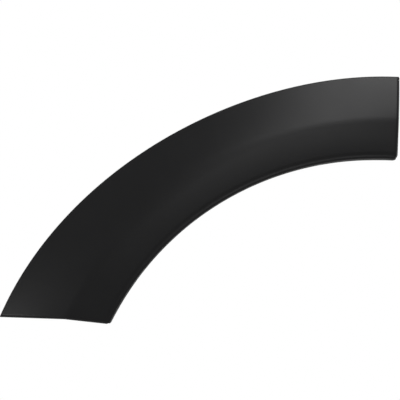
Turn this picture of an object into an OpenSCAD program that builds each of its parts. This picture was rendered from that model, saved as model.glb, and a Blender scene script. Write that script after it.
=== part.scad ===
// Wheel arch trim: the moulded cover that follows the upper quarter of a wheel opening,
// with the push-in clips that hold it to the body side.
// Everything is laid out about the wheel's centre, and then set down with the origin where the
// middle clip meets the body panel. X runs to the right in the front view, Z up, and the seen
// face looks towards -Y. "Height" means how far a point stands out from the body panel.

/* [Arch line] */
// Radius of the wheel opening at the trim's inner edge
arch_r = 326; // [300:0.1:360]
// Distance of the upright cut past the wheel's centre line
top_end_x = 24.5; // [12:0.1:50]
// Lean of the upright cut, in degrees
top_end_lean = 2.2; // [0:0.1:5]
// Height of the lower cut above the wheel's centre, at the inner edge
low_end_z = 143.1; // [130:0.1:175]
// Rise of the lower cut from the inner edge to the crease, in degrees
low_end_rise = 5.7; // [0:0.1:8]
// Rise of the lower cut from the crease to the outer edge, in degrees
low_tip_rise = 1.2; // [0:0.1:8]

/* [Band width] */
// Width of the band at the upright cut
top_w = 91.8; // [84:0.1:100]
// Width of the band a quarter of the way down
upper_w = 89.4; // [84:0.1:98]
// Width of the band half way down
middle_w = 92.6; // [86:0.1:102]
// Width of the band three quarters of the way down
lower_w = 104; // [96:0.1:112]
// Width of the band at the lower cut
low_w = 117.4; // [108:0.1:126]
// Distance from the inner edge to the crease, at the upright cut
crease_top_w = 43.5; // [38:0.1:50]
// Distance from the inner edge to the crease, at the lower cut
crease_low_w = 47; // [40:0.1:54]

/* [Section] */
// Wall thickness of the moulding
wall = 2.6; // [2:0.1:3.2]
// Height of the outer edge
edge_h = 5; // [4.5:0.1:8]
// Height of the crease
crease_h = 25.5; // [20:0.1:32]
// Height of the inner edge
inner_h = 22; // [17:0.1:28]
// Bulge of the face between the inner edge and the crease
inner_crown = 0.8; // [0:0.1:2]
// Bulge of the face between the crease and the outer edge
outer_crown = 1.3; // [0:0.1:3]
// Reach of the crease's rounding to each side, at the two cuts
crease_reach_end = 4.5; // [2:0.5:8]
// Reach of the crease's rounding to each side, half way down
crease_reach_middle = 15; // [8:0.5:20]
// Depth of the shallow groove beside the inner edge
groove_depth = 0.25; // [0.1:0.05:0.6]
// Distance from the inner edge to the bottom of the groove
groove_at = 4.2; // [4:0.1:6]
// Width of the groove's short side, towards the inner edge
groove_rim_w = 1.9; // [1:0.1:2]
// Width of the groove's long side, towards the face
groove_face_w = 4.4; // [3:0.1:6]

/* [Rims and corners] */
// Radius of the rounded inner edge
inner_edge_r = 1.9; // [1.2:0.1:2]
// Radius of the rounded cuts
end_edge_r = 3.4; // [1.5:0.1:4]
// Radius of the rounded outer edge
outer_edge_r = 1.2; // [0.6:0.1:2]
// Corner between the upright cut and the inner edge, in the front view
top_inner_corner = 5.5; // [1:0.1:6]
// Corner between the upright cut and the outer edge
top_outer_corner = 1.6; // [0.8:0.1:4]
// Corner between the lower cut and the inner edge
low_inner_corner = 3.4; // [1:0.1:6]
// Corner between the lower cut and the outer edge
low_outer_corner = 1.1; // [0.8:0.1:4]
// Lean of the inner and outer side walls for the mould, in degrees
draft = 1.5; // [0.5:0.1:3]
// Lean of the walls at the two cuts, in degrees
cut_splay = 3; // [1:0.1:5]

/* [Body side] */
// Radius of the body side's bow from front to rear
body_plan_r = 2000; // [1500:50:6000]
// Radius of the body side's bow from top to bottom
body_side_r = 3500; // [2500:50:9000]
// Height above the wheel's centre at which the body side stands out most
body_belly_z = 150; // [100:5:250]
// Gap left between the trim's rims and the body panel
panel_gap = 0.4; // [0.2:0.1:1]

/* [Wheel side flange] */
// Reach of the flange past the body panel
flange_reach = 14; // [10:0.5:20]
// Length over which the flange grows from each cut
flange_ramp = 34; // [20:1:60]
// Bore for each flange screw
screw_bore_d = 6.5; // [4:0.1:8]
// Diameter of the pad round each screw bore
screw_pad_d = 13; // [10:0.5:16]
// Thickness of the pad
screw_pad_h = 4; // [3.6:0.1:6]
// Distance from the flange's free edge to the screw bores
screw_edge = 7.5; // [7:0.5:9]

/* [Clip towers] */
// Distance from the inner edge to the clips
clip_row = 26; // [22:0.5:32]
// Distance along the arch from the upright cut to the first clip
clip_from_top = 50; // [30:0.5:80]
// Distance along the arch from the lower cut to the last clip
clip_from_low = 33.5; // [24:0.5:60]
// Length of a tower along the arch
tower_l = 19; // [17:0.5:24]
// Length of a tower across the band
tower_w = 18; // [17:0.5:22]
// Thickness of the tower walls
tower_wall = 1.8; // [1.2:0.1:2.4]
// Thickness of the tower's seat for the clip
seat_t = 2; // [1.5:0.1:3]
// Height of the seat's face above the body panel
seat_h = 3.6; // [3.2:0.1:6]

/* [Ribs] */
// Thickness of the ribs behind the face
rib_t = 1.5; // [1:0.1:2]
// Gap between the ribs and the body panel
rib_gap = 3; // [1:0.1:5]
// Distance from the inner edge to the long rib
long_rib_at = 58; // [50:1:66]

/* [Clips] */
// Diameter of the clip's neck
neck_d = 6; // [5:0.1:6.6]
// Clearance round the neck in its slot
neck_clearance = 0.3; // [0.2:0.05:0.5]
// Diameter of the clip's head
head_d = 12.5; // [10:0.1:13]
// Thickness of the head
head_t = 1.8; // [1.2:0.1:2.5]
// Clearance between the seat and the clip's skirt
skirt_clearance = 0.3; // [0.2:0.05:0.5]
// Diameter of the clip's sealing skirt
skirt_d = 16; // [12:0.5:18]
// Thickness of the sealing skirt
skirt_t = 1.1; // [0.8:0.1:1.6]
// Diameter of the clip's stem
stem_d = 5; // [4:0.1:5.8]
// Diameter over the stem's fins
fin_d = 8.2; // [7:0.1:9]
// Length of the stem behind the body panel
stem_l = 15; // [12:0.5:20]
// Number of fins on each stem
fin_n = 4; // [3:1:5]

/* [Hidden] */
NODES = ["arch_trim", "panel_clip_1", "panel_clip_2", "panel_clip_3", "panel_clip_4", "panel_clip_5"];
trim_colour = [0.13, 0.13, 0.135];
clip_colour = [0.82, 0.82, 0.8];
// Fineness of the moulded face
turn_steps = [0, 30, 60, 90];
crease_steps = [-1, -0.6, -0.25, 0, 0.25, 0.6, 1];
corner_zone = 6.2;
station_n = 46;
core_station_n = 30;
round_fn = 64;
// Least turn of a wall's rounding, and least step between rows
turn_min = 0.4;
row_step = 0.3;
// Overrun of cuts past the faces they open
over = 1;
// Bevel on a clip's head, web under its skirt, and the share of the pitch where a fin starts and ends
head_bevel = 0.5;
skirt_web = 1;
fin_from = 0.6;
fin_to = 1.2;
// Sizes that follow
deg_per_mm = 180 / PI;
rim_w = groove_at + groove_face_w;
top_end_z = sqrt(arch_r * arch_r - top_end_x * top_end_x);
low_end_x = sqrt(arch_r * arch_r - low_end_z * low_end_z);
top_pull = top_end_x * cos(top_end_lean) - top_end_z * sin(top_end_lean);
low_pull = low_end_z * cos(low_end_rise) - low_end_x * sin(low_end_rise);
low_crease_r = arch_r + crease_low_w;
low_crease_angle = acos(low_pull / low_crease_r) - low_end_rise;
low_tip_pull = low_crease_r * cos(low_crease_angle + low_tip_rise);
band_widths = [top_w, upper_w, middle_w, lower_w, low_w];
mid_r = arch_r + middle_w / 2;
arc_length = (low_angle(mid_r) - top_angle(mid_r)) / deg_per_mm * mid_r;
// Places round the arch, in degrees from straight above the wheel's centre. The ribs and the
// screws stand half way between the clips.
clip_r = arch_r + clip_row;
clip_n = len(NODES) - 1;
first_clip = top_angle(clip_r) + clip_from_top / clip_r * deg_per_mm;
last_clip = low_angle(clip_r) - clip_from_low / clip_r * deg_per_mm;
clip_pitch = (last_clip - first_clip) / (clip_n - 1);
clip_angles = [for (k = [0 : clip_n - 1]) first_clip + k * clip_pitch];
between_clips = [for (k = [0 : clip_n - 2]) first_clip + (k + 0.5) * clip_pitch];
datum_angle = clip_angles[2];
skirt_stand = seat_h - skirt_clearance;
screw_y = flange_reach - screw_edge;
screw_r = arch_r + wall / 2 + lean_out(inner_h + screw_y);
past_all = 4 * crease_h;

// Smooth step from 0 to 1
function eased(x) = let (c = min(max(x, 0), 1)) c * c * (3 - 2 * c);

// Product of a list of factors, and the even curve through a list of values
function product(f, k = 0) = k >= len(f) ? 1 : f[k] * product(f, k + 1);
function total(v, k = 0) = k >= len(v) ? 0 : v[k] + total(v, k + 1);
function share(k, t, n) = product([for (m = [0 : n]) if (m != k) (t * n - m) / (k - m)]);
function through(v, t) = total([for (k = [0 : len(v) - 1]) v[k] * share(k, t, len(v) - 1)]);

// Body panel: how far it lies behind the plane through the wheel's centre line
function panel_y(x, z) =
    pow(x - top_end_x, 2) / (2 * body_plan_r) + pow(z - body_belly_z, 2) / (2 * body_side_r);

// Angles at which the two cuts cross a circle about the wheel's centre
function top_angle(r) = -top_end_lean - asin(top_pull / r);
function at_tip(r) = r > low_crease_r;
function low_pull_at(r) = at_tip(r) ? low_tip_pull : low_pull;
function low_angle(r) = acos(low_pull_at(r) / r) - (at_tip(r) ? low_tip_rise : low_end_rise);

// Widths along the arch, with t from 0 at the upright cut to 1 at the lower cut
function width_at(t) = through(band_widths, t);
function crease_at(t) = crease_top_w + (crease_low_w - crease_top_w) * t;
function reach_at(t) =
    crease_reach_end + (crease_reach_middle - crease_reach_end) * pow(sin(180 * min(max(t, 0), 1)), 4);

// Height of the face at a distance a from the inner edge
function bulge(u, h) = 4 * h * u * (1 - u);
function inner_face(a, t) =
    let (u = a / crease_at(t)) inner_h + (crease_h - inner_h) * u + bulge(u, inner_crown);
function outer_face(a, t) =
    let (u = (width_at(t) - a) / (width_at(t) - crease_at(t)))
    edge_h + (crease_h - edge_h) * u + bulge(u, outer_crown);
function crease_turn(t) =
    (crease_h - inner_h - 4 * inner_crown) / crease_at(t)
    + (crease_h - edge_h - 4 * outer_crown) / (width_at(t) - crease_at(t));
function blended(p, q, k) =
    let (h = min(max(0.5 + 0.5 * (q - p) / k, 0), 1)) q + (p - q) * h - k * h * (1 - h);
function face_height(a, t) =
    blended(inner_face(a, t), outer_face(a, t), max(crease_turn(t), 0.1) * reach_at(t));
function groove(a) =
    let (u = (a - groove_at) / (a < groove_at ? groove_rim_w : groove_face_w))
    abs(u) < 1 ? groove_depth * pow(cos(90 * u), 2) : 0;
function wall_drop(a, t, inset) =
    inset * sqrt(1 + pow((face_height(a + 1, t) - face_height(a - 1, t)) / 2, 2));

// Height lost in the rounding of an edge, at a distance d from it
function rounding(d, r) = d >= r ? 0 : r - sqrt(max(r * r - pow(r - max(d, 0), 2), 0));

// Plan rounding of a corner: square steps towards the corner become steps on circles
function cornered(da, db, r) =
    da >= r || db >= r ? [da, db] :
    let (p = [r - da, r - db]) [r, r] - p * max(p) / norm(p);

// One skin of the moulding, set in from the true outside by inset. Rows run along the arch
// and are told apart by where they start from; stations run across it.
SKIRT_IN = 0;
TURN_IN = 1;
RIM = 2;
INNER = 3;
CREASE = 4;
OUTER = 5;
TURN_OUT = 6;
SKIRT_OUT = 7;

function turns(kind, back) =
    [for (k = [0 : 3]) [kind, 1 - cos(turn_steps[back ? 3 - k : k])]];
fine_rows = concat(
    [[SKIRT_IN, 0]],
    turns(TURN_IN, false),
    [for (f = [-1, -0.5, 0, 0.5, 1]) [RIM, f]],
    [for (f = [1 / 3, 2 / 3]) [INNER, f]],
    [for (f = crease_steps) [CREASE, f]],
    [for (f = [1 / 4, 2 / 4, 3 / 4]) [OUTER, f]],
    turns(TURN_OUT, true),
    [[SKIRT_OUT, 0]]);
core_rows = concat(
    [[SKIRT_IN, 0], [TURN_IN, 0], [TURN_IN, 1], [RIM, 1]],
    [for (f = [-1, -0.4, 0.4, 1]) [CREASE, f]],
    [for (f = [1 / 3, 2 / 3]) [OUTER, f]],
    [[TURN_OUT, 1], [TURN_OUT, 0], [SKIRT_OUT, 0]]);

// Stations: from the upright cut, between the cuts, and from the lower cut
SKIRT_TOP = 0;
TURN_TOP = 1;
BETWEEN = 2;
TURN_LOW = 3;
SKIRT_LOW = 4;
fine_stations = concat(
    [[SKIRT_TOP, 0]],
    turns(TURN_TOP, false),
    [for (k = [0 : station_n]) [BETWEEN, k / station_n]],
    turns(TURN_LOW, true),
    [[SKIRT_LOW, 0]]);
core_stations = concat(
    [[SKIRT_TOP, 0], [TURN_TOP, 0], [TURN_TOP, 1]],
    [for (k = [0 : core_station_n]) [BETWEEN, k / core_station_n]],
    [[TURN_LOW, 1], [TURN_LOW, 0], [SKIRT_LOW, 0]]);

function inset_turn(r, inset) = max(r - inset, turn_min);
function lean_out(h) = -h * tan(draft);
function splay(h) = (h - edge_h) * tan(cut_splay);

// Distance of the groove's rows from the inner edge: f runs from -1 on its rim side over 0 at its
// bottom to 1 on its face side, and the rows stay clear of the rounded edge's
function rim_start(inset) =
    max(groove_at - groove_rim_w, inset + inset_turn(inner_edge_r, inset) + row_step / 2);
function rim_bottom(inset) = max(groove_at, rim_start(inset) + row_step);
function rim_a(f, inset) =
    rim_bottom(inset) + f * (f < 0 ? rim_bottom(inset) - rim_start(inset) : rim_w - rim_bottom(inset));

// Distance of a row from the inner edge
function row_a(row, t, inset) =
    let (w = width_at(t))
    let (c = crease_at(t))
    let (reach = reach_at(t))
    row[0] == SKIRT_IN ? inset + lean_out(inner_h + flange_reach) :
    row[0] == TURN_IN ? inset + row[1] * inset_turn(inner_edge_r, inset) :
    row[0] == RIM ? rim_a(row[1], inset) :
    row[0] == INNER ? rim_w + row[1] * (c - reach - rim_w) :
    row[0] == CREASE ? c + row[1] * reach :
    row[0] == OUTER ? c + reach + row[1] * (w - corner_zone - c - reach) :
    row[0] == TURN_OUT ? w - inset - row[1] * inset_turn(outer_edge_r, inset) :
    w - inset - lean_out(edge_h);

// Distance of a station from its cut
function station_b(station, inset) =
    station[0] == BETWEEN ? corner_zone :
    station[0] == TURN_TOP || station[0] == TURN_LOW ? inset + station[1] * inset_turn(end_edge_r, inset) :
    inset;
function from_top(station) = station[0] == SKIRT_TOP || station[0] == TURN_TOP;
function from_low(station) = station[0] == SKIRT_LOW || station[0] == TURN_LOW;
function station_t(station, inset) =
    from_top(station) ? station_b(station, inset) / arc_length :
    from_low(station) ? 1 - station_b(station, inset) / arc_length :
    (corner_zone + station[1] * (arc_length - 2 * corner_zone)) / arc_length;

// Angle of a point at radius r, a distance b from the cut that its station belongs to
function near_top(r, b) = top_angle(r) + b / r * deg_per_mm;
function near_low(r, b) = low_angle(r) - b / r * deg_per_mm / sqrt(1 - pow(low_pull_at(r) / r, 2));
function spot_angle(station, r, b) =
    from_top(station) ? near_top(r, b) :
    from_low(station) ? near_low(r, b) :
    near_top(r, b) + station[1] * (near_low(r, b) - near_top(r, b));

function corner_r(top, inner) =
    top ? (inner ? top_inner_corner : top_outer_corner) : (inner ? low_inner_corner : low_outer_corner);
function flange_foot(b) = panel_gap - (flange_reach + panel_gap) * eased(b / flange_ramp);
function edge_distance(station, t) =
    station[0] == BETWEEN ? min(t, 1 - t) * arc_length : 0;

// A point of the skin. foot is undef where the skin keeps its own rims, or one height for all.
function skin_point(row, station, inset, foot) =
    let (t = station_t(station, inset))
    let (tc = min(max(t, 0), 1))
    let (w = width_at(tc))
    let (a0 = row_a(row, tc, inset))
    let (inner = a0 < w / 2)
    let (da = (inner ? a0 : w - a0) - inset)
    let (db = station_b(station, inset) - inset)
    let (at_end = from_top(station) || from_low(station))
    let (r_corner = max(corner_r(from_top(station), inner) - inset, turn_min))
    let (d = at_end ? cornered(da, db, r_corner) : [da, db])
    let (a = inner ? d[0] + inset : w - inset - d[0])
    let (r = arch_r + a)
    let (rim_row = row[0] == SKIRT_IN || row[0] == SKIRT_OUT)
    let (rim_station = station[0] == SKIRT_TOP || station[0] == SKIRT_LOW)
    let (off_cut = splay(rim_row || rim_station ? panel_gap : face_height(a, tc)))
    let (angle = spot_angle(station, r, d[1] + inset + (at_end ? off_cut : 0)))
    let (x = -r * sin(angle))
    let (z = r * cos(angle))
    let (side_turn = rounding(da, inset_turn(inner ? inner_edge_r : outer_edge_r, inset)))
    let (end_turn = at_end ? rounding(db, inset_turn(end_edge_r, inset)) : 0)
    let (face = face_height(a, tc) - groove(a) * (inset > 0 ? 0 : 1) - wall_drop(a, tc, inset))
    let (h = !rim_row && !rim_station ? face - max(side_turn, end_turn) :
        !is_undef(foot) ? foot :
        row[0] == SKIRT_IN ? flange_foot(edge_distance(station, tc)) : panel_gap)
    [x, panel_y(x, z) - h, z];

function skin(rows, stations, inset, foot) =
    [for (row = rows) for (station = stations) skin_point(row, station, inset, foot)];

// A level sheet of points under a skin, all at one height
function sheet(points, h) = [for (p = points) [p[0], panel_y(p[0], p[2]) - h, p[2]]];

// Two triangles for each cell of a grid whose points are given row by row
function grid_faces(n_rows, n_cols, first, flip) =
    [for (i = [0 : n_rows - 2]) for (j = [0 : n_cols - 2])
        let (p = first + i * n_cols + j)
        let (q = [p, p + 1, p + n_cols + 1, p + n_cols])
        for (f = [[q[0], q[1], q[2]], [q[0], q[2], q[3]]]) flip ? [f[2], f[1], f[0]] : f];

// The points round a grid's border in order, and the strip that joins two such borders
function border(n_rows, n_cols) = concat(
    [for (j = [0 : n_cols - 1]) j],
    [for (i = [1 : n_rows - 1]) i * n_cols + n_cols - 1],
    [for (j = [n_cols - 2 : -1 : 0]) (n_rows - 1) * n_cols + j],
    [for (i = [n_rows - 2 : -1 : 1]) i * n_cols]);
function strip_faces(loop, lift) =
    [for (k = [0 : len(loop) - 1])
        let (p = loop[k])
        let (q = loop[(k + 1) % len(loop)])
        for (f = [[p, p + lift, q + lift], [p, q + lift, q]]) f];

module closed_skins(front, back, n_rows, n_cols) {
    n = n_rows * n_cols;
    polyhedron(
        points = concat(front, back),
        faces = concat(
            grid_faces(n_rows, n_cols, 0, false),
            grid_faces(n_rows, n_cols, n, true),
            strip_faces(border(n_rows, n_cols), n)));
}

// The moulded shell: face, rims and wheel side flange in one wall
module shell() {
    closed_skins(
        skin(fine_rows, fine_stations, 0, undef),
        skin(fine_rows, fine_stations, wall, undef),
        len(fine_rows), len(fine_stations));
}

// The room behind the middle of the wall, down to a height above the panel. It trims the ribs
// and towers, so that they end inside the wall.
module core(foot) {
    front = skin(core_rows, core_stations, wall / 2, foot + over);
    closed_skins(front, sheet(front, foot), len(core_rows), len(core_stations));
}

// Local frame at an angle round the arch: X along the arch, Z outwards, origin on the panel
module at_arch(angle, r) {
    translate([-r * sin(angle), panel_y(-r * sin(angle), r * cos(angle)), r * cos(angle)])
        rotate([0, -angle, 0])
            children();
}

// Ribs behind the face: one across the band between each two clips, and a long one along the arch
module radial_rib(angle) {
    rotate([0, -angle, 0])
        translate([-rib_t / 2, -past_all, arch_r + wall / 2])
            cube([rib_t, 2 * past_all, low_w]);
}

module long_rib() {
    span = low_angle(arch_r + low_w) - top_angle(arch_r);
    rotate([90, 0, 0])
        rotate([0, 0, 90 + top_angle(arch_r)])
            translate([0, 0, -past_all])
                rotate_extrude(angle = span, $fn = 4 * round_fn)
                    translate([arch_r + long_rib_at, 0])
                        square([rib_t, 2 * past_all]);
}

module ribs() {
    intersection() {
        union() {
            for (angle = between_clips) {
                radial_rib(angle);
            }
            long_rib();
        }
        core(rib_gap);
    }
}

// Clip tower: walls that stand on the back of the face, with a slotted seat across their end
module tower_block(angle) {
    at_arch(angle, clip_r)
        translate([-tower_l / 2, -past_all, -tower_w / 2])
            cube([tower_l, past_all - seat_h, tower_w]);
}

module tower_room(angle) {
    at_arch(angle, clip_r)
        translate([-tower_l / 2 - over, -past_all - over, -tower_w / 2 + tower_wall])
            cube([tower_l - tower_wall + over, past_all + over - seat_h - seat_t, tower_w - 2 * tower_wall]);
}

module neck_slot(angle) {
    slot_r = neck_d / 2 + neck_clearance;
    at_arch(angle, clip_r) {
        rotate([90, 0, 0])
            cylinder(r = slot_r, h = seat_h + seat_t + over, $fn = round_fn);
        translate([-tower_l, -seat_h - seat_t - over, -slot_r])
            cube([tower_l, seat_h + seat_t + over, 2 * slot_r]);
    }
}

module towers() {
    difference() {
        intersection() {
            union() {
                for (angle = clip_angles) {
                    tower_block(angle);
                }
            }
            core(panel_gap);
        }
        for (angle = clip_angles) {
            tower_room(angle);
            neck_slot(angle);
        }
    }
}

// Screw pads on the flange, each square to the line from the wheel's centre
module at_screw(angle) {
    x = -screw_r * sin(angle);
    z = screw_r * cos(angle);
    translate([x, panel_y(x, z) + screw_y, z])
        rotate([0, -angle, 0])
            children();
}

module screw_pads() {
    for (angle = between_clips) {
        at_screw(angle)
            translate([0, 0, -screw_pad_h / 2])
                cylinder(d = screw_pad_d, h = screw_pad_h, $fn = round_fn);
    }
}

module screw_bores() {
    for (angle = between_clips) {
        at_screw(angle)
            translate([0, 0, -screw_pad_h])
                cylinder(d = screw_bore_d, h = 2 * screw_pad_h, $fn = round_fn);
    }
}

// The moulding's origin is where the middle clip meets the body panel
module at_datum() {
    x = -clip_r * sin(datum_angle);
    z = clip_r * cos(datum_angle);
    translate([-x, -panel_y(x, z), -z])
        children();
}

module arch_trim() {
    color(trim_colour)
        at_datum()
            difference() {
                union() {
                    shell();
                    ribs();
                    towers();
                    screw_pads();
                }
                screw_bores();
            }
}

// Push-in clip: head inside the tower, neck in the slot, sealing skirt on the panel, finned stem
module panel_clip(angle) {
    seat_in = seat_h + seat_t;
    fin_pitch = stem_l / (fin_n + 1);
    color(clip_colour)
        at_datum()
            at_arch(angle, clip_r)
                rotate([-90, 0, 0])
                    rotate_extrude($fn = round_fn)
                        polygon(concat(
                            [[0, -seat_in - head_t], [head_d / 2 - head_bevel, -seat_in - head_t],
                             [head_d / 2, -seat_in - head_t + head_bevel], [head_d / 2, -seat_in],
                             [neck_d / 2, -seat_in], [neck_d / 2, -skirt_stand],
                             [skirt_d / 2, -skirt_t], [skirt_d / 2, 0],
                             [stem_d / 2 + skirt_web, -skirt_stand + 2 * skirt_t], [stem_d / 2, 0]],
                            [for (k = [0 : fin_n - 1]) for (p = [
                                [stem_d / 2, (k + fin_from) * fin_pitch],
                                [fin_d / 2, (k + fin_from) * fin_pitch],
                                [stem_d / 2, (k + fin_to) * fin_pitch]]) p],
                            [[stem_d / 4, stem_l], [0, stem_l]]));
}

arch_trim();
panel_clip(clip_angles[0]);  // panel_clip_1
panel_clip(clip_angles[1]);  // panel_clip_2
panel_clip(clip_angles[2]);  // panel_clip_3
panel_clip(clip_angles[3]);  // panel_clip_4
panel_clip(clip_angles[4]);  // panel_clip_5
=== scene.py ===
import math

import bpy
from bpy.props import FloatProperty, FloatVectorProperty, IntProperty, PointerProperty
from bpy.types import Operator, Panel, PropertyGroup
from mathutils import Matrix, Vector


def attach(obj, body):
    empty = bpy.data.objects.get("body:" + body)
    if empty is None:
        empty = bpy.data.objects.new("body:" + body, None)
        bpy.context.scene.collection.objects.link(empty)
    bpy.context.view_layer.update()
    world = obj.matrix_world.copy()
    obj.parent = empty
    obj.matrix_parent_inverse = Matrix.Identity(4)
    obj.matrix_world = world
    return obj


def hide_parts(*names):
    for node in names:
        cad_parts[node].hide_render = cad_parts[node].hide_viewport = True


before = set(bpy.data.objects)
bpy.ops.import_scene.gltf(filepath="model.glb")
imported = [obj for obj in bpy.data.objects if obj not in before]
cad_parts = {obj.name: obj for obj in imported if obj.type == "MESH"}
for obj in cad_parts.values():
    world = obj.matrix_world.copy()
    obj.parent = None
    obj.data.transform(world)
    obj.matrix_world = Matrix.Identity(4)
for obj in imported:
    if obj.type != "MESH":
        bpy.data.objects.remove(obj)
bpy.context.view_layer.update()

# Dresses the wheel arch trim: a grained black moulding and the clips behind it. Sizes are in
# metres and angles in radians. The shape is laid out about the wheel's centre, and is then set
# down about the middle clip, which is the frame's origin. "Height" means how far a point stands
# out from the body panel, towards -Y.

bl_info = {
    "name": "Wheel arch trim",
    "version": (1, 0, 0),
    "blender": (4, 5, 0),
    "location": "3D View > Sidebar > Arch Trim",
    "description": "Builds a wheel arch trim with its clips, finishes and stage",
    "category": "Object",
}

MM = 0.001
TRIM_NODE = "arch_trim"
CLIP_NODES = ["panel_clip_%d" % number for number in range(1, 6)]
CLIP_N = len(CLIP_NODES)
CLIP_SIDES = 48
HEAD_CHAMFER = 0.5 * MM
SKIRT_WEB = 1 * MM
FIN_START = 0.6
FIN_END = 1.2
SHARP_ANGLE = math.radians(35)

# Looks that nothing else depends on
TRIM_SPECULAR = 0.1
CLIP_SPECULAR = 0.4
NOISE_SHARE = 0.6
CLOUD_SCALE = 22.0
CLOUD_IN_ROUGHNESS = 0.1
CLOUD_IN_TONE = 0.16
WALL_ROUGHNESS = 0.65
WORLD_LIGHT = 0.35
FLOOR_SIZE = 18.0
FLOOR_Z = -1.2
FLOOR_COLOUR = (0.86, 0.86, 0.85, 1)
FLOOR_ROUGHNESS = 0.8
FLOOR_GLOW = 0.35
PART_MIDDLE = (0.02, 0.0, 0.0)
# Name, direction from the part, distance, size and power of each soft lamp
LAMPS = (
    ("key", (0.14, -0.51, 0.85), 1.9, 1.1, 29.2),
    ("top", (0.15, -0.22, 0.97), 1.9, 0.8, 12.1),
    ("upper", (-0.08, -0.8, 0.6), 1.9, 0.8, 10.3),
    ("front", (-0.04, -0.99, 0.15), 1.9, 0.7, 6.9),
    ("side", (-0.93, -0.35, -0.1), 1.9, 0.5, 9.8),
    ("right", (0.97, 0.05, -0.2), 1.9, 0.7, 18.0),
    ("back", (0.1, 0.96, 0.25), 1.9, 0.9, 21.0),
)
# The camera looks straight at the part from where the photograph was taken
CAMERA_PLACE = (-0.00558, -2.21430, -0.01741)
CAMERA_LENS = 180
CAMERA_SENSOR = 36
CAMERA_SIGHT = 100


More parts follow.
